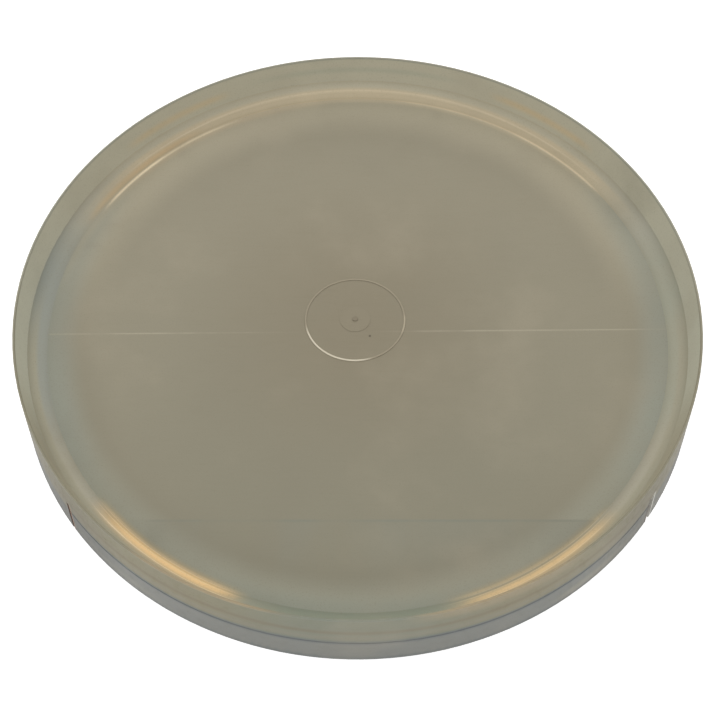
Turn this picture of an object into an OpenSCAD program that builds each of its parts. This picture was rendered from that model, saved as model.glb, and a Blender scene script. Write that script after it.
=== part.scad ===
// Blind cover for the end of a large pipe or flange, moulded in natural polyethylene.
// A closing panel meets a round rim in a wide inside corner. The rim thins to a lip above
// the panel, and goes on below it as a skirt that grips the pipe. Two slits and a tear line
// part a strip from the skirt, and the strip is peeled open to free the cover.
// Millimetres, +Z up. The origin is on the axis, at the foot of the skirt.

/* [Wall] */
// Outside diameter at the top of the rim
rim_d = 325; // [250:1:400]
// Outside diameter at the foot of the skirt
foot_d = 331.2; // [255:0.1:410]
// Thickness of the skirt and the strip at the foot
wall_t = 2.5; // [2:0.1:3]
// Height of the whole cover
cover_h = 38; // [34:0.5:50]
// Height of the lip, the thin upper part of the rim
lip_h = 8; // [4:0.5:12]

/* [Closing panel] */
// Thickness of the closing panel
panel_t = 2.5; // [1.5:0.1:3]
// Height of the panel's top face above the foot
panel_z = 17; // [15:0.5:18]
// Radius at which the flat panel ends and the inside corner begins
panel_r = 151; // [100:0.5:152]
// Radius of the inside corner between the panel and the rim
corner_r = 8.1; // [4:0.1:8.5]
// Lean of the rim's inner face from the upright
lean = 10.4; // [8:0.1:10.5]

/* [Skirt] */
// Diameter of the straight bore that grips the pipe
bore_d = 323.9; // [250:0.1:400]
// Height of the lead-in below the straight bore
lead_h = 4; // [2:0.5:8]
// Chamfer along the foot of the skirt
foot_c = 0.5; // [0.2:0.1:0.8]

/* [Tear strip] */
// Height of the tear line above the foot of the skirt
tear_z = 17.3; // [12:0.1:20]
// Gap that the tear line leaves between the strip and the rim
tear_gap = 0.4; // [0.3:0.1:0.8]
// Chamfer on the strip's top edge, which makes the tear line a groove
tear_c = 0.6; // [0.2:0.1:1]
// Angle of the narrow slit, where the strip stays attached longest
narrow_slit_a = 219; // [200:0.5:230]
// Angle of the wide slit, where the strip is gripped first
wide_slit_a = 322.8; // [310:0.5:340]
// Width of the narrow slit
narrow_slit_w = 1.4; // [1:0.1:2]
// Width of the wide slit
wide_slit_w = 3; // [2:0.1:5]
// Height of the slits' upper ends above the foot of the skirt
slit_top = 23; // [20:0.1:28]
// Height of the strip's foot above the foot of the skirt
strip_lift = 0.3; // [0.1:0.1:0.6]

/* [Gate marks] */
// Distance of the moulding gate from the axis, towards -X
gate_x = 1.3; // [0:0.1:3]
// Radius of the raised ring around the gate
gate_ring_r = 24.3; // [15:0.1:40]
// Width of the raised ring
gate_ring_w = 0.8; // [0.5:0.1:2]
// Height of the raised ring
gate_ring_h = 0.25; // [0.2:0.1:0.5]
// Radius of the round pad that the gate leaves
gate_pad_r = 7.5; // [4:0.1:12]
// Height of the gate pad
gate_pad_h = 0.15; // [0.1:0.1:0.5]
// Radius of the broken-off sprue on the gate pad
sprue_r = 1.3; // [0.5:0.1:2]
// Height of the sprue above the gate pad
sprue_h = 0.35; // [0.2:0.1:1]

/* [Hidden] */
$fn = 240;
rim_r = rim_d / 2;
foot_r = foot_d / 2;
bore_r = bore_d / 2;
panel_low = panel_z - panel_t;
lip_low = cover_h - lip_h;
strip_top = tear_z - tear_gap;
corner_end_r = panel_r + corner_r * cos(lean);
corner_end_z = panel_z + corner_r * (1 - sin(lean));
lip_z = cover_h - 0.5;
lip_r = (outer_r(lip_z) - recess_r(lip_z)) / 2;
slit_floor_r = bore_r - 1.2;
arc_steps = 18;
past = 1;

// Radius of the cover's outer face, and of the rim's inner face, at a height z
function outer_r(z) = rim_r + (foot_r - rim_r) * (cover_h - z) / cover_h;
function recess_r(z) = corner_end_r + (z - corner_end_z) * tan(lean);

// Points of an arc about a centre, from one angle to another
function arc_points(centre, r, from, to) = [
    for (i = [0 : arc_steps])
        let (a = from + (to - from) * i / arc_steps)
            [centre[0] + r * cos(a), centre[1] + r * sin(a)]
];

// Section of the skirt between two heights, with its bore, lead-in and foot chamfers
function skirt_section(low, high, top_c) = [
    [bore_r, panel_low],
    [outer_r(high) - wall_t, high],
    [outer_r(high) - top_c, high],
    [outer_r(high - top_c), high - top_c],
    [outer_r(low + foot_c), low + foot_c],
    [outer_r(low) - foot_c, low],
    [outer_r(low) - wall_t + foot_c, low],
    [outer_r(low) - wall_t, low + foot_c],
    [bore_r, low + lead_h]
];

// The children's section swept from one angle to another about the axis
module arc(from, to) {
    rotate([0, 0, from]) rotate_extrude(angle = to - from) children();
}

// The room that both slits take, from below the foot up to their ends
module slits() {
    for (slit = [[narrow_slit_a, narrow_slit_w], [wide_slit_a, wide_slit_w]])
        rotate([0, 0, slit[0]])
            translate([slit_floor_r, -slit[1] / 2, -past])
                cube([foot_r - slit_floor_r + past, slit[1], slit_top + past]);
}

// Flat disc that closes the opening
module closing_panel() {
    color([0.60, 0.57, 0.50])
        translate([0, 0, panel_low]) cylinder(r = panel_r, h = panel_t);
}

// Ring that joins the panel to the rim, rounded above and flat below
module corner_ring() {
    color([0.68, 0.62, 0.50])
        rotate_extrude() polygon(concat(
            [[panel_r, panel_low], [corner_end_r, panel_low]],
            arc_points([panel_r, panel_z + corner_r], corner_r, -lean, -90)));
}

// Rim above the tear line, up to where it is thin
module upper_wall() {
    color([0.61, 0.60, 0.53])
        difference() {
            rotate_extrude() polygon([
                [corner_end_r, tear_z],
                [outer_r(tear_z), tear_z],
                [outer_r(lip_low), lip_low],
                [recess_r(lip_low), lip_low],
                [corner_end_r, corner_end_z]
            ]);
            slits();
        }
}

// Thin top of the rim, with a half-round edge
module rim_lip() {
    color([0.64, 0.62, 0.55])
        rotate_extrude() polygon(concat(
            [[recess_r(lip_low), lip_low], [outer_r(lip_low), lip_low]],
            arc_points([outer_r(lip_z) - lip_r, lip_z], lip_r, 0, 180)));
}

// Lower part of the skirt, on both sides and behind the strip
module skirt() {
    color([0.55, 0.56, 0.53])
        difference() {
            arc(wide_slit_a, narrow_slit_a + 360) polygon(skirt_section(0, tear_z, 0.01));
            slits();
        }
}

// Part of the skirt between the slits, chamfered along the tear line
module tear_strip() {
    color([0.52, 0.55, 0.54])
        difference() {
            arc(narrow_slit_a, wide_slit_a)
                polygon(skirt_section(strip_lift, strip_top, tear_c));
            slits();
        }
}

// Thin raised ring that the mould's gate insert leaves on the panel
module gate_ring() {
    color([0.76, 0.73, 0.64])
        translate([-gate_x, 0, panel_z]) rotate_extrude()
            translate([gate_ring_r - gate_ring_w / 2, 0]) square([gate_ring_w, gate_ring_h]);
}

// Low round pad at the gate itself
module gate_pad() {
    color([0.63, 0.59, 0.50])
        translate([-gate_x, 0, panel_z]) cylinder(r = gate_pad_r, h = gate_pad_h);
}

// Stub of the sprue, broken off on the pad
module sprue_nub() {
    color([0.45, 0.41, 0.34])
        translate([-gate_x, 0, panel_z + gate_pad_h]) cylinder(r = sprue_r, h = sprue_h);
}

closing_panel();
corner_ring();
upper_wall();
rim_lip();
skirt();
tear_strip();
gate_ring();
gate_pad();
sprue_nub();
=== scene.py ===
# %% [markdown]
# # A translucent blind cover for a pipe end
# The real thing is one moulding of uncoloured polyethylene: a flat panel, a round rim
# that rises from it in a wide inside corner, and a skirt with a strip that tears off.
# The shape comes from CAD and stays as it is. What Blender adds is how the plastic
# looks: milky and satin, cooler where it is thin, with a painted honey glow in the corner
# where it is thick, the small marks that a mould and a warehouse leave, and some painted
# highlights and shade.

# %% Load the cover
import math

import bmesh
import bpy
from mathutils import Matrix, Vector


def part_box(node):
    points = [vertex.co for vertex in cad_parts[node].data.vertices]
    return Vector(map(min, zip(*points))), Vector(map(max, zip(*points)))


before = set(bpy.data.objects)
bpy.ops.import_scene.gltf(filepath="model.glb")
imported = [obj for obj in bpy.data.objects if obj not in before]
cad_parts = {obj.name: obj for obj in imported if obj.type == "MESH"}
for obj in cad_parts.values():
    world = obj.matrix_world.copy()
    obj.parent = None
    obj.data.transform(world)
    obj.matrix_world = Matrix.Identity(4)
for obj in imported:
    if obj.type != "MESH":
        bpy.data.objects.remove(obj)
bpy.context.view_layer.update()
print("pieces in the cover:", ", ".join(sorted(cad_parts)))

# %% [markdown]
# ## Measuring before painting
# Every stain, line and tint below is placed by its distance from the cover's axis, its
# height and its direction around the rim. The radius of the panel, the height of the tear
# line and the like are read from the CAD pieces, so the paint beside them moves with them
# if the cover changes. A piece's box doesn't tell where the slits are, so their directions
# are repeated from the CAD. Directions are in degrees round the axis: 0 is +X, and 270 is
# about the middle of the side that has the strip.


# %% Lengths and directions
def mm(length):
    """Millimetres in Blender's metres."""
    return length / 1000


panel_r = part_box("closing_panel")[1][0]
tear_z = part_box("skirt")[1][2]
rim_r, _, rim_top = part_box("rim_lip")[1]
lip_middle_r = rim_r - mm(1.15)
gate_low, gate_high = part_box("gate_ring")
gate_x = (gate_low[0] + gate_high[0]) / 2
gate_r = (gate_high[0] - gate_low[0]) / 2
narrow_slit, wide_slit = 219.0, 322.8
strip_middle = (narrow_slit + wide_slit) / 2
strip_half = (wide_slit - narrow_slit) / 2
print("panel radius %.1f, tear line at %.1f, top at %.1f, gate ring radius %.1f mm" % tuple(
    1000 * length for length in (panel_r, tear_z, rim_top, gate_r)))

# %% [markdown]
# ## A small language for shader nodes
# Blender's shader editor draws one box per sum, which is slow to write in code. This
# little class keeps one material's node tree and adds a box for each step, so a stain
# reads like a formula. A stain's mask is a number from 0 to 1 at each point of the
# surface, and each method gives back a socket that the next one takes.


# %% Shader formulas
def linear(r, g, b):
    """A paint-shop colour of 0 to 255 as the linear light that the shader wants."""
    out = []
    for v in (r, g, b):
        v = v / 255
        out.append(v / 12.92 if v <= 0.04045 else ((v + 0.055) / 1.055) ** 2.4)
    return (*out, 1.0)


class Recipe:
    """The node tree of one plastic, with the cover's own directions to hand."""

    def __init__(self, name):
        self.material = bpy.data.materials.new(name)
        self.material.use_nodes = True
        self.tree = self.material.node_tree
        self.tree.nodes.clear()
        self.out = self.tree.nodes.new("ShaderNodeOutputMaterial")
        self.place = self.tree.nodes.new("ShaderNodeTexCoord").outputs["Object"]
        split = self.tree.nodes.new("ShaderNodeSeparateXYZ")
        self.join(self.place, split.inputs[0])
        self.x, self.y, self.z = split.outputs
        self.aside = self.sum("ABSOLUTE", self.x)
        self.r = self.length(self.x, self.y)
        self.past_panel = self.sum("SUBTRACT", self.r, panel_r)
        self.above_tear = self.sum("SUBTRACT", self.z, tear_z)

    def join(self, a, socket):
        """Links a socket, or sets the plain value that it is given instead."""
        if hasattr(a, "is_output"):
            self.tree.links.new(a, socket)
        else:
            socket.default_value = a

    def sum(self, how, a, b=0.0):
        node = self.tree.nodes.new("ShaderNodeMath")
        node.operation = how
        self.join(a, node.inputs[0])
        self.join(b, node.inputs[1])
        return node.outputs[0]

    def length(self, a, b):
        """The long side of a right-angled triangle with the sides a and b."""
        return self.sum("SQRT", self.sum(
            "ADD", self.sum("MULTIPLY", a, a), self.sum("MULTIPLY", b, b)))

    def ramp(self, value, start, end):
        """0 at start and 1 at end, with a smooth change between. End may be lower."""
        node = self.tree.nodes.new("ShaderNodeMapRange")
        node.interpolation_type = "SMOOTHSTEP"
        self.join(value, node.inputs["Value"])
        node.inputs["From Min"].default_value = min(start, end)
        node.inputs["From Max"].default_value = max(start, end)
        node.inputs["To Min"].default_value = 0.0 if start < end else 1.0
        node.inputs["To Max"].default_value = 1.0 if start < end else 0.0
        return node.outputs[0]

    def band(self, value, middle, half):
        """1 at the middle, falling smoothly to 0 at half a width either side."""
        off = self.sum("ABSOLUTE", self.sum("SUBTRACT", value, middle))
        return self.ramp(off, half, 0.0)

    def dot(self, x, y, size):
        """1 at a point of the panel, falling to 0 at the given distance from it."""
        away = self.length(self.sum("SUBTRACT", self.x, x), self.sum("SUBTRACT", self.y, y))
        return self.ramp(away, size, size * 0.4)

    def facing(self, azimuth, full, gone):
        """1 within full degrees of a direction round the axis, 0 beyond gone degrees."""
        a = math.radians(azimuth)
        along = self.sum("ADD", self.sum("MULTIPLY", self.x, math.cos(a)),
                         self.sum("MULTIPLY", self.y, math.sin(a)))
        turned = self.sum("DIVIDE", along, self.sum("MAXIMUM", self.r, mm(1)))
        return self.ramp(turned, math.cos(math.radians(gone)), math.cos(math.radians(full)))

    def all_of(self, *masks):
        """Where every mask is; a plain number among them is the strength."""
        got = masks[0]
        for mask in masks[1:]:
            got = self.sum("MULTIPLY", got, mask)
        return got

    def any_of(self, *masks):
        """Where at least one of the masks is."""
        got = masks[0]
        for mask in masks[1:]:
            got = self.sum("MAXIMUM", got, mask)
        return got

    def noise(self, scale, detail=3.0, rough=0.5, stretch=(1, 1, 1)):
        """Cloudy noise from 0 to 1, with its grain in waves per metre."""
        lay = self.tree.nodes.new("ShaderNodeMapping")
        lay.inputs["Scale"].default_value = stretch
        self.join(self.place, lay.inputs["Vector"])
        node = self.tree.nodes.new("ShaderNodeTexNoise")
        node.inputs["Scale"].default_value = scale
        node.inputs["Detail"].default_value = detail
        node.inputs["Roughness"].default_value = rough
        self.join(lay.outputs[0], node.inputs["Vector"])
        return node.outputs["Fac"]

    def specks(self, scale, size, chance):
        """Sparse round specks: one cell in so many holds a dot of the given size."""
        node = self.tree.nodes.new("ShaderNodeTexVoronoi")
        node.inputs["Scale"].default_value = scale
        self.join(self.place, node.inputs["Vector"])
        split = self.tree.nodes.new("ShaderNodeSeparateColor")
        self.join(node.outputs["Color"], split.inputs[0])
        dot = self.ramp(node.outputs["Distance"], size, size * 0.4)
        return self.all_of(dot, self.ramp(split.outputs[0], 1 - chance, 1 - chance + 0.001))

    def tint(self, base, colour, mask):
        """Base where the mask is 0 and colour where it is 1."""
        node = self.tree.nodes.new("ShaderNodeMix")
        node.data_type = "RGBA"
        self.join(mask, node.inputs["Factor"])
        self.join(base, node.inputs["A"])
        self.join(colour, node.inputs["B"])
        return node.outputs["Result"]

    def relief(self, *layers):
        """Stacks bumps, each a height mask and its depth in metres."""
        normal = None
        for height, depth in layers:
            node = self.tree.nodes.new("ShaderNodeBump")
            node.inputs["Strength"].default_value = 1.0
            node.inputs["Distance"].default_value = depth
            self.join(height, node.inputs["Height"])
            if normal:
                self.join(normal, node.inputs["Normal"])
            normal = node.outputs[0]
        return normal

    def milky(self, colour, roughness, normal, glow, through=0.12, gloss=0.5, sheen=(1, 1, 1)):
        """Satin plastic that lets a little light through, with its gloss and its tint."""
        face = self.tree.nodes.new("ShaderNodeBsdfPrincipled")
        self.join(colour, face.inputs["Base Color"])
        self.join(roughness, face.inputs["Roughness"])
        self.join(normal, face.inputs["Normal"])
        face.inputs["IOR"].default_value = 1.5
        face.inputs["Specular IOR Level"].default_value = gloss
        face.inputs["Specular Tint"].default_value = (*sheen, 1)
        back = self.tree.nodes.new("ShaderNodeBsdfTranslucent")
        self.join(glow, back.inputs["Color"])
        mix = self.tree.nodes.new("ShaderNodeMixShader")
        mix.inputs["Fac"].default_value = through
        self.join(face.outputs[0], mix.inputs[1])
        self.join(back.outputs[0], mix.inputs[2])
        self.join(mix.outputs[0], self.out.inputs["Surface"])
        return self.material


def dress(name, material):
    """Puts a material on one CAD piece, in every slot it has."""
    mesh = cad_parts[name].data
    mesh.materials.clear()
    mesh.materials.append(material)
    print("dressed", name, "in", material.name)


# %% [markdown]
# ## What every zone of the moulding shares
# Natural polyethylene is never one colour. It has slow clouds where the melt cooled at
# different speeds, a fine orange-peel skin from the mould, a few dark specks of burnt
# polymer and scuffs from handling. One helper lays these on a base colour, so that all
# zones match where they meet.

# %% Shared skin
honey = linear(208, 176, 124)
honey_glow_through_top = linear(164, 148, 119)
teal = linear(130, 139, 129)
tear_shadow = linear(98, 104, 106)


def skin(rx, colour, soft=0.42, scratched=1.0):
    """Clouds, specks and scuffs over a colour, with the roughness and relief they bring."""
    cloud = rx.noise(20, 4.0, 0.55)
    colour = rx.tint(colour, linear(162, 153, 133), rx.all_of(rx.ramp(cloud, 0.5, 0.8), 0.30))
    colour = rx.tint(colour, linear(128, 123, 106), rx.all_of(rx.ramp(cloud, 0.5, 0.2), 0.30))
    grain = rx.noise(1400, 2.0, 0.5)
    colour = rx.tint(colour, linear(118, 111, 94), rx.all_of(rx.ramp(grain, 0.5, 0.85), 0.30))
    burnt = rx.specks(26, 0.016, 0.10)
    colour = rx.tint(colour, linear(84, 74, 58), rx.all_of(burnt, 0.7))
    scuff = rx.noise(60, 5.0, 0.7, (1, 9, 3))
    scuffed = rx.all_of(rx.ramp(scuff, 0.45, 0.75), 0.12 * scratched)
    rough = rx.sum("ADD", rx.sum("ADD", soft, scuffed), rx.all_of(grain, 0.05))
    peel = rx.noise(420, 3.0, 0.5)
    return colour, rough, rx.relief((peel, mm(0.03)), (scuff, mm(0.04) * scratched))


# %% [markdown]
# ## Places that two plastics share
# The painted honey glow and the hair-thin painted highlight at the panel's edge cross from the
# panel into the corner. The stretches of painted shade on the outside run from the rim down the
# skirt.
# Both plastics ask the same helper, so each stretch begins and ends at the same place on
# both sides of a seam.


# %% Shared places
def painted_glow_sides(rx):
    """The two stretches of the corner, on the strip side, where the painted honey glow is strong.
    """
    return rx.facing(236.0, 9, 17), rx.all_of(rx.facing(301, 9, 18), 0.72)


# Both stretches of painted glow together
def painted_glow_places(rx):
    return rx.any_of(*painted_glow_sides(rx))


def painted_shade_sides(rx):
    """The two stretches of the outside darkened with painted shade, to offset the side boxes'
    light.
    """
    return rx.any_of(rx.facing(206, 12, 28), rx.facing(334, 12, 28))


def painted_edge_highlight(rx, colour):
    """A painted highlight: the bright line along the panel's far edge, strongest at two places."""
    left = rx.all_of(rx.band(rx.past_panel, mm(-0.9), mm(1.4)),
                     rx.any_of(rx.facing(142, 3, 11), rx.all_of(rx.facing(134, 8, 20), 0.5)))
    right = rx.all_of(rx.band(rx.past_panel, mm(0.1), mm(1.3)),
                      rx.any_of(rx.facing(45, 7, 14), rx.all_of(rx.facing(62, 10, 24), 0.5)), 0.5)
    return rx.tint(colour, linear(255, 238, 204), rx.any_of(left, right))


# %% [markdown]
# ## The closing panel
# The flat disc is the calmest part. It is darkest and warmest in the middle, where the
# melt came in, with a painted sheen to both sides, and painted light makes it paler towards
# its edge, where the rim's shade falls. The work is split in two: first the broad changes of tone,
# then the marks that lie on them.


# %% Panel tones
def panel_tones(rx):
    far_side = rx.ramp(rx.y, mm(-20), mm(60))
    strip_side = rx.ramp(rx.y, mm(20), mm(-90))
    edge_zone = rx.ramp(rx.past_panel, mm(-18), mm(-2))
    colour = rx.tint(linear(132, 128, 110), linear(139, 133, 114),
                     rx.ramp(rx.y, mm(-130), mm(100)))
    # Warm middle, and a painted sheen that makes both sides of it lighter
    colour = rx.tint(colour, linear(126, 116, 95), rx.all_of(rx.ramp(rx.r, mm(110), 0.0), 0.6))
    colour = rx.tint(colour, linear(143, 137, 118),
                     rx.all_of(rx.ramp(rx.aside, mm(50), mm(130)), 0.5))
    # Painted light, paler towards the far edge where the rim's shade falls, with a painted
    # highlight on its left
    colour = rx.tint(colour, linear(175, 167, 145), rx.all_of(
        rx.ramp(rx.past_panel, mm(-30), mm(-2)), far_side, 0.85))
    colour = rx.tint(colour, linear(196, 178, 148), rx.all_of(
        rx.ramp(rx.past_panel, mm(-6), mm(-1)), rx.facing(134, 22, 42), 0.6))
    # Painted light, paler and cooler towards the edge on the strip side where the rim's shade
    # falls, and teal at its middle
    colour = rx.tint(colour, linear(162, 162, 146), rx.all_of(edge_zone, strip_side, 0.85))
    colour = rx.tint(colour, teal, rx.all_of(
        rx.ramp(rx.past_panel, mm(-9), mm(-1)), rx.facing(270, 6, 30), 0.4))
    # Bluish at the left and right ends
    colour = rx.tint(colour, linear(156, 164, 156),
                     rx.all_of(edge_zone, rx.ramp(rx.aside, mm(110), mm(140)), 0.45))
    # A painted light hem along the far edge, where the rim's shade falls
    return rx.tint(colour, linear(192, 179, 152), rx.all_of(
        rx.ramp(rx.past_panel, mm(-3.5), mm(-0.5)), rx.ramp(rx.y, mm(60), mm(120)), 0.8))


# %% [markdown]
# Two straight lines cross the panel: a pale one near the
# middle, a little askew, and a dark one towards the strip, with slightly bluer plastic
# beyond it. They are painted, and a patchy noise breaks them up in places.


# %% Panel marks
def panel_marks(rx, colour):
    warm = painted_glow_places(rx)
    # The painted highlight along the far edge, then painted glow and a painted highlight where the
    # corner's streaks reach the panel's edge
    colour = painted_edge_highlight(rx, colour)
    colour = rx.tint(colour, honey,
                     rx.all_of(warm, rx.ramp(rx.past_panel, mm(-3.5), 0.0), 0.5))
    colour = rx.tint(colour, linear(238, 212, 166),
                     rx.all_of(warm, rx.ramp(rx.past_panel, mm(-1.4), mm(-0.2)), 0.5))
    patchy = rx.ramp(rx.noise(26, 3.0, 0.6, (1, 0.3, 1)), 0.38, 0.62)
    gappy = rx.any_of(patchy, 0.3)
    # The pale line fades beside the gate
    askew = rx.sum("SUBTRACT", rx.y, rx.sum("MULTIPLY", rx.x, 0.010))
    off_gate = rx.ramp(rx.sum("ABSOLUTE", rx.sum("ADD", rx.x, mm(10))), mm(12), mm(50))
    colour = rx.tint(colour, linear(176, 169, 149), rx.all_of(
        rx.band(askew, mm(-7.5), mm(0.7)), gappy, off_gate, 0.55))
    # The dark line fades before it meets the corner
    reach = rx.ramp(rx.sum("ABSOLUTE", rx.sum("SUBTRACT", rx.x, mm(3))), mm(112), mm(80))
    colour = rx.tint(colour, linear(118, 122, 112), rx.all_of(
        rx.band(rx.y, mm(-108.5), mm(1.1)), reach, gappy, 0.6))
    colour = rx.tint(colour, linear(130, 131, 119), rx.all_of(
        rx.ramp(rx.y, mm(-107.5), mm(-110)), rx.ramp(rx.y, mm(-145), mm(-110)), patchy, 0.35))
    # Two burnt dots beside the gate
    burnt = rx.any_of(rx.dot(gate_x + mm(7.2), mm(-10.0), mm(0.8)),
                      rx.all_of(rx.dot(gate_x + mm(0.5), mm(-5.1), mm(0.7)), 0.4))
    return rx.tint(colour, linear(62, 54, 42), rx.all_of(burnt, 0.85))


# %% Panel plastic
def panel_plastic():
    rx = Recipe("panel_plastic")
    colour, rough, normal = skin(rx, panel_marks(rx, panel_tones(rx)), 0.55)
    return rx.milky(colour, rough, normal, linear(150, 146, 128))


dress("closing_panel", panel_plastic())

# %% [markdown]
# ## The inside corner
# Where the panel turns up into the rim the plastic is thickest. Light that has run
# along the sheet leaves it there, so the corner has a honey tone, with long warm streaks
# at two places and teal between them. Real light inside the sheet could be traced, but it
# would need a glass-clear volume and a very long render. So the honey and the streaks are
# tints that stay where they are on the cover, and the lamps only brighten them where they
# are thrown back by the polished bend.


# %% Corner tones
def corner_tones(rx):
    foot_of_bend = rx.ramp(rx.past_panel, mm(6.8), mm(5.2))
    far = rx.ramp(rx.y, mm(50), mm(110))
    # The sides, with a cooler end at the left and at the right
    side = rx.tint(linear(164, 163, 149), linear(145, 151, 145), rx.facing(184, 8, 28))
    side = rx.tint(side, linear(154, 157, 143), rx.facing(356, 6, 26))
    colour = rx.tint(side, linear(176, 171, 151), far)
    # The strip side: painted light, warmer, high up where the lip's shade falls; cooler low down
    colour = rx.tint(colour, linear(162, 160, 143), rx.all_of(
        rx.ramp(rx.past_panel, mm(3.5), mm(5.5)), rx.ramp(rx.y, mm(30), mm(-30))))
    colour = rx.tint(colour, linear(144, 147, 133), rx.all_of(
        rx.ramp(rx.y, mm(-100), mm(-130)), rx.ramp(rx.past_panel, mm(5.5), mm(3.5)), 0.8))
    # The far side: a pale painted reflection low down, with a warm painted highlight at the left
    colour = rx.tint(colour, linear(188, 175, 148), rx.all_of(far, foot_of_bend))
    colour = rx.tint(colour, linear(200, 174, 134), rx.all_of(
        rx.facing(140, 6, 18), rx.band(rx.past_panel, mm(2.2), mm(2.6)), 0.7))
    # Teal at the middle of the strip side
    return rx.tint(colour, linear(108, 124, 112), rx.all_of(
        rx.facing(270, 3, 22), rx.band(rx.past_panel, mm(3.0), mm(8.0)), 0.85))


# %% [markdown]
# The painted honey glow has three layers: a broad one, a painted highlight in the middle of each
# streak, and three fine rings, which are the turning marks of the mould painted as bright
# highlight lines.


# %% Corner honey and turning marks
def corner_honey(rx, colour):
    left, right = painted_glow_sides(rx)
    colour = rx.tint(colour, honey, rx.any_of(
        rx.all_of(left, rx.band(rx.past_panel, mm(2.0), mm(5.0)), 0.8),
        rx.all_of(right, rx.band(rx.past_panel, mm(3.5), mm(4.5)), 0.9)))
    # A painted highlight in the middle of each streak
    streak_highlight = rx.any_of(
        rx.all_of(rx.facing(237.5, 5, 14), rx.band(rx.past_panel, mm(1.9), mm(2.6))),
        rx.all_of(rx.facing(301, 6, 15), rx.band(rx.past_panel, mm(2.8), mm(2.2)), 0.5))
    colour = rx.tint(colour, linear(255, 217, 158), rx.all_of(streak_highlight, 0.9))
    # The mould's turning marks, painted as bright highlight lines only where the glow is
    turned = rx.any_of(rx.band(rx.past_panel, mm(0.2), mm(0.4)),
                       rx.band(rx.past_panel, mm(1.4), mm(0.3)),
                       rx.band(rx.past_panel, mm(3.9), mm(0.3)))
    return rx.tint(colour, linear(250, 230, 188), rx.all_of(turned, painted_glow_places(rx), 0.5))


# %% Corner plastic
def corner_plastic():
    rx = Recipe("corner_plastic")
    # The corner's painted honey glow, then the painted highlight along the panel's edge
    colour = painted_edge_highlight(rx, corner_honey(rx, corner_tones(rx)))
    # A painted reflection: a thin bright line high on the far side, which dips a little at its
    # middle
    dip = rx.sum("MULTIPLY", rx.ramp(rx.y, mm(110), mm(155)), mm(1.0))
    line = rx.band(rx.sum("SUBTRACT", rx.past_panel, dip), mm(4.1), mm(0.7))
    colour = rx.tint(colour, linear(250, 236, 204),
                     rx.all_of(line, rx.facing(90, 40, 60), 0.16))
    # The low part of the bend is polished, above all where the painted glow is and at the far side
    far = rx.ramp(rx.y, mm(50), mm(110))
    polish = rx.all_of(rx.ramp(rx.past_panel, mm(5.2), mm(4.0)),
                       rx.ramp(rx.past_panel, 0.0, mm(0.7)),
                       rx.any_of(painted_glow_places(rx), far, 0.3))
    soft = rx.sum("SUBTRACT", 0.55, rx.sum("MULTIPLY", polish, 0.31))
    colour, rough, normal = skin(rx, colour, soft, scratched=0.0)
    return rx.milky(colour, rough, normal, honey, gloss=0.6, sheen=(1.0, 0.86, 0.66))


dress("corner_ring", corner_plastic())

# %% [markdown]
# ## The rim
# The rim is milky inside and painted paler there, where light from the whole cover gathers.
# Its outside is greyer and carries two faint rings, one pale and one brownish, above the
# tear line: painted light and painted shade where the panel's junction shows through the wall.
# Inside and outside are one piece, so a mask at the middle of the lip tells them apart.
# The wide slit has pale edges, the narrow one a painted reddish glint, and both
# slits have painted shadow along one inner edge.


# %% Slit marks
def slit_marks(rx, colour, where):
    """The pale edges, the painted reddish glint and the painted shadow of the two slits."""
    # A pale edge at the wide slit, a painted reddish glint at the narrow one, and painted shadow
    # along one edge of each
    pale = rx.facing(wide_slit + 0.35, 0.30, 0.75)
    reddish_glint = rx.facing(narrow_slit + 0.15, 0.15, 0.45)
    slit_shadow = rx.any_of(rx.facing(wide_slit - 0.85, 0.15, 0.45),
                     rx.facing(narrow_slit - 0.30, 0.10, 0.30))
    colour = rx.tint(colour, linear(208, 206, 197), rx.all_of(pale, where))
    colour = rx.tint(colour, linear(158, 118, 92), rx.all_of(reddish_glint, where))
    return rx.tint(colour, linear(72, 60, 50), rx.all_of(slit_shadow, where, 0.85))


def along_strip(rx):
    """The stretch between the two slits."""
    return rx.facing(strip_middle, strip_half - 0.9, strip_half + 0.4)


# %% Rim, inside
def rim_inside(rx):
    # Painted light: the inside is pale, where light from the whole cover gathers
    colour = rx.tint(linear(192, 192, 175), linear(186, 181, 160), rx.ramp(rx.y, mm(-50), mm(120)))
    colour = rx.tint(colour, linear(164, 158, 138), rx.ramp(rx.y, mm(-30), mm(-90)))
    # Two warm painted highlight streaks at the far side, with a cooler patch between them
    highlight_streaks = rx.any_of(rx.all_of(rx.facing(128, 7, 13), 0.35),
                        rx.all_of(rx.facing(51, 7, 13), 0.4))
    colour = rx.tint(colour, honey, rx.all_of(
        highlight_streaks, rx.band(rx.above_tear, mm(11.2), mm(3.5))))
    return rx.tint(colour, linear(166, 168, 150), rx.all_of(
        rx.facing(90, 8, 24), rx.band(rx.above_tear, mm(13.2), mm(2.8)), 0.5))


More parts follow.
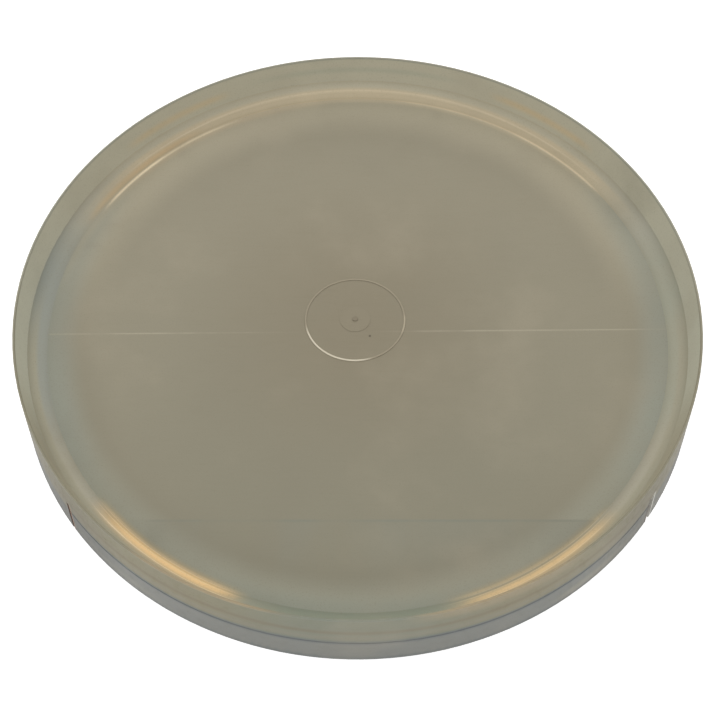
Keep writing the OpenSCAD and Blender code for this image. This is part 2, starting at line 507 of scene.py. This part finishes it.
# %% Rim, outside
def rim_outside(rx):
    colour = rx.tint(linear(126, 128, 110), linear(134, 128, 102),
                     rx.ramp(rx.aside, mm(20), mm(70)))
    # Painted shade and painted light where the panel's junction shows through: the brownish ring
    # and the pale ring, then the painted shadow along the tear
    colour = rx.tint(colour, linear(118, 104, 82),
                     rx.all_of(rx.band(rx.above_tear, mm(9.1), mm(2.6)), 0.6))
    colour = rx.tint(colour, linear(135, 130, 114),
                     rx.all_of(rx.band(rx.above_tear, mm(4.3), mm(2.2)), 0.6))
    colour = rx.tint(colour, tear_shadow, rx.all_of(
        rx.ramp(rx.above_tear, mm(2.7), mm(0.1)), along_strip(rx), 0.85))
    # Painted honey glow that shows through the thin top on the right of the strip side
    colour = rx.tint(colour, honey_glow_through_top, rx.all_of(
        rx.facing(292, 6, 16), rx.ramp(rx.above_tear, mm(11.7), mm(18.7)), 0.6))
    # Painted shade on the two stretches of the outside that the side boxes light most
    return rx.tint(colour, linear(60, 50, 10), rx.all_of(painted_shade_sides(rx), 0.43))


# %% Rim, top edge
def lip_edge(rx):
    strip_side = rx.tint(linear(136, 132, 113), linear(130, 134, 120), rx.facing(270, 4, 14))
    # Painted honey glow showing through the lip at two places on the strip side
    strip_side = rx.tint(strip_side, honey_glow_through_top, rx.all_of(
        rx.any_of(rx.facing(246, 5, 14), rx.facing(292, 6, 16)), 0.9))
    return rx.tint(strip_side, linear(158, 157, 142), rx.ramp(rx.y, mm(-50), mm(40)))


# %% Rim plastic
def rim_plastic():
    rx = Recipe("wall_plastic")
    outer_half = rx.ramp(rx.r, lip_middle_r - mm(0.2), lip_middle_r + mm(0.2))
    colour = rx.tint(rim_inside(rx), rim_outside(rx), outer_half)
    colour = rx.tint(colour, lip_edge(rx), rx.ramp(rx.z, rim_top - mm(1.4), rim_top - mm(0.6)))
    colour = slit_marks(rx, colour, rx.ramp(rx.above_tear, mm(6.2), mm(5.7)))
    colour, rough, normal = skin(rx, colour)
    return rx.milky(colour, rough, normal, linear(160, 156, 138), gloss=0.3)


rim = rim_plastic()
dress("upper_wall", rim)
dress("rim_lip", rim)

# %% [markdown]
# ## Skirt and tear strip
# Below the tear line the plastic is thinner and cooler, almost grey. Its foot is dark,
# with a paler stretch just above it at both ends of the strip.


# %% Skirt plastic
def skirt_plastic():
    rx = Recipe("skirt_plastic")
    colour = rx.tint(linear(124, 125, 119), linear(104, 108, 106), rx.ramp(rx.z, mm(5), mm(1)))
    strip_ends = rx.any_of(rx.facing(226, 7, 15), rx.facing(314, 7, 15))
    colour = rx.tint(colour, linear(152, 149, 136),
                     rx.all_of(rx.band(rx.z, mm(6.2), mm(5.0)), strip_ends, 0.7))
    left_side = rx.all_of(rx.ramp(rx.aside, mm(30), mm(110)), rx.ramp(rx.x, mm(50), mm(-50)))
    colour = rx.tint(colour, linear(132, 132, 127), rx.all_of(left_side, 0.5))
    colour = rx.tint(colour, tear_shadow, rx.all_of(
        rx.ramp(rx.above_tear, mm(-3.3), mm(-0.5)), along_strip(rx), 0.75))
    # Painted shade on the two stretches of the outside that the side boxes light most
    colour = rx.tint(colour, linear(40, 40, 30), rx.all_of(painted_shade_sides(rx), 0.54))
    colour = slit_marks(rx, colour, 1.0)
    colour, rough, normal = skin(rx, colour)
    return rx.milky(colour, rough, normal, linear(150, 148, 138), gloss=0.3)


skirt_look = skirt_plastic()
dress("skirt", skirt_look)
dress("tear_strip", skirt_look)

# %% [markdown]
# ## Gate marks
# The melt came in at the middle. The insert round the gate leaves a hair-thin ring, a
# low pad and the stub of the sprue. They have the panel's colour, with a painted highlight
# on the strip side of the ring and a painted glint at its right.


# %% Gate plastic
def gate_plastic():
    rx = Recipe("gate_plastic")
    on_ring = rx.ramp(rx.r, gate_r - mm(4.7), gate_r - mm(2.5))
    colour = rx.tint(linear(131, 123, 103), linear(146, 137, 117),
                     rx.ramp(rx.r, gate_r - mm(12.7), gate_r - mm(4.7)))
    # A painted highlight on the strip side of the ring, and a painted glint at its right
    ring_highlight = rx.all_of(rx.facing(238, 34, 52), on_ring)
    colour = rx.tint(colour, linear(206, 198, 178), ring_highlight)
    glint = rx.all_of(rx.facing(352, 8, 16), on_ring)
    colour = rx.tint(colour, linear(168, 158, 136), glint)
    colour, rough, normal = skin(rx, colour, 0.5)
    return rx.milky(colour, rough, normal, linear(150, 146, 128))


gate = gate_plastic()
dress("gate_ring", gate)
dress("gate_pad", gate)


# %% Sprue plastic
def sprue_plastic():
    rx = Recipe("sprue_plastic")
    torn = rx.noise(2200, 4.0, 0.7)
    colour = rx.tint(linear(134, 125, 106), linear(120, 111, 92), torn)
    rough = rx.sum("ADD", 0.5, rx.sum("MULTIPLY", torn, 0.3))
    return rx.milky(colour, rough, rx.relief((torn, mm(0.2))), linear(120, 110, 90))


dress("sprue_nub", sprue_plastic())

# %% [markdown]
# ## Paper floor
# The cover stands on pale paper. To the camera, and in reflections, the paper shines a
# little by itself, so it is white, but it still takes the cover's shadow.


# %% Floor
def watched_rays(tree):
    """1 for what the camera sees, straight or in a reflection or through plastic."""
    seen = tree.nodes.new("ShaderNodeLightPath")
    watched = seen.outputs["Is Camera Ray"]
    for ray in ("Is Glossy Ray", "Is Transmission Ray"):
        most = tree.nodes.new("ShaderNodeMath")
        most.operation = "MAXIMUM"
        tree.links.new(watched, most.inputs[0])
        tree.links.new(seen.outputs[ray], most.inputs[1])
        watched = most.outputs[0]
    return watched


def paper():
    sheet = bpy.data.materials.new("paper")
    sheet.use_nodes = True
    tree = sheet.node_tree
    tree.nodes.clear()
    flat = tree.nodes.new("ShaderNodeBsdfDiffuse")
    flat.inputs["Color"].default_value = (0.8, 0.8, 0.8, 1)
    lift = tree.nodes.new("ShaderNodeEmission")
    lift.inputs["Strength"].default_value = 0.55
    both = tree.nodes.new("ShaderNodeAddShader")
    tree.links.new(flat.outputs[0], both.inputs[0])
    tree.links.new(lift.outputs[0], both.inputs[1])
    pick = tree.nodes.new("ShaderNodeMixShader")
    out = tree.nodes.new("ShaderNodeOutputMaterial")
    tree.links.new(watched_rays(tree), pick.inputs[0])
    tree.links.new(flat.outputs[0], pick.inputs[1])
    tree.links.new(both.outputs[0], pick.inputs[2])
    tree.links.new(pick.outputs[0], out.inputs[0])
    return sheet


floor_mesh = bpy.data.meshes.new("floor")
shape = bmesh.new()
bmesh.ops.create_grid(shape, x_segments=1, y_segments=1, size=4)
shape.to_mesh(floor_mesh)
shape.free()
floor_mesh.materials.append(paper())
floor = bpy.data.objects.new("floor", floor_mesh)
bpy.context.collection.objects.link(floor)
print("floor", [round(v, 2) for v in floor.dimensions], "m")

# %% [markdown]
# ## Soft studio
# A soft white sky lights everything evenly, and behind the cover it looks pure white.
# Two tall strip boxes stand behind the cover and are thrown back by the near corner,
# two side boxes by the far corner, and a low wide box in front lights the inside of the
# far rim. Each is placed by its direction and its height in degrees above the table,
# as lamps on stands are.

# %% Sky
white = (1, 1, 1, 1)
world = bpy.data.worlds.new("studio")
bpy.context.scene.world = world
world.use_nodes = True
tree = world.node_tree
sky = tree.nodes["Background"]
sky.inputs["Color"].default_value = white
sky.inputs["Strength"].default_value = 0.6
shown = tree.nodes.new("ShaderNodeBackground")
shown.inputs["Color"].default_value = white
shown.inputs["Strength"].default_value = 1.0
blend = tree.nodes.new("ShaderNodeMixShader")
tree.links.new(watched_rays(tree), blend.inputs[0])
tree.links.new(sky.outputs[0], blend.inputs[1])
tree.links.new(shown.outputs[0], blend.inputs[2])
tree.links.new(blend.outputs[0], tree.nodes["World Output"].inputs[0])
print("sky strength", sky.inputs["Strength"].default_value)


# %% Boxes
def softbox(name, azimuth, elevation, size, watts, colour=(1, 1, 1), distance=1.25):
    """An area lamp that looks at the cover's middle from a direction in degrees."""
    lamp = bpy.data.lights.new(name, "AREA")
    lamp.shape = "RECTANGLE"
    lamp.size, lamp.size_y = size
    lamp.energy = watts
    lamp.color = colour
    a, e = math.radians(azimuth), math.radians(elevation)
    place = distance * Vector((math.cos(e) * math.cos(a), math.cos(e) * math.sin(a), math.sin(e)))
    box = bpy.data.objects.new(name, lamp)
    bpy.context.collection.objects.link(box)
    box.location = place
    box.rotation_euler = (-place).to_track_quat("-Z", "Y").to_euler()
    print(name, "at", [round(v, 2) for v in place], "with", watts, "W")


candle = (1.0, 0.93, 0.80)
tall, square, wide = (0.22, 0.88), (0.4, 0.4), (0.9, 0.4)
softbox("back_strip_left", 107, 34, tall, 3.2, candle)
softbox("back_strip_right", 73, 27, tall, 3.2, candle)
softbox("side_box_left", 186, 36, square, 3.4)
softbox("side_box_right", -6, 38, square, 2.6)
softbox("front_box", 270, 34, wide, 4)

# %% [markdown]
# ## Camera
# A slightly long lens, above the strip side and looking down into the cover.

# %% Camera
looks_down = 56.90
lens = bpy.data.cameras.new("camera")
lens.lens = 58.2
lens.sensor_width = 36
camera = bpy.data.objects.new("camera", lens)
bpy.context.collection.objects.link(camera)
camera.location = (0.0011, -0.3292, 0.4852)
camera.rotation_euler = (math.radians(90 - looks_down), 0, 0)
bpy.context.scene.camera = camera
bpy.context.scene.view_settings.view_transform = "Standard"
print("camera at", [round(v, 3) for v in camera.location], "looking down", looks_down, "degrees")
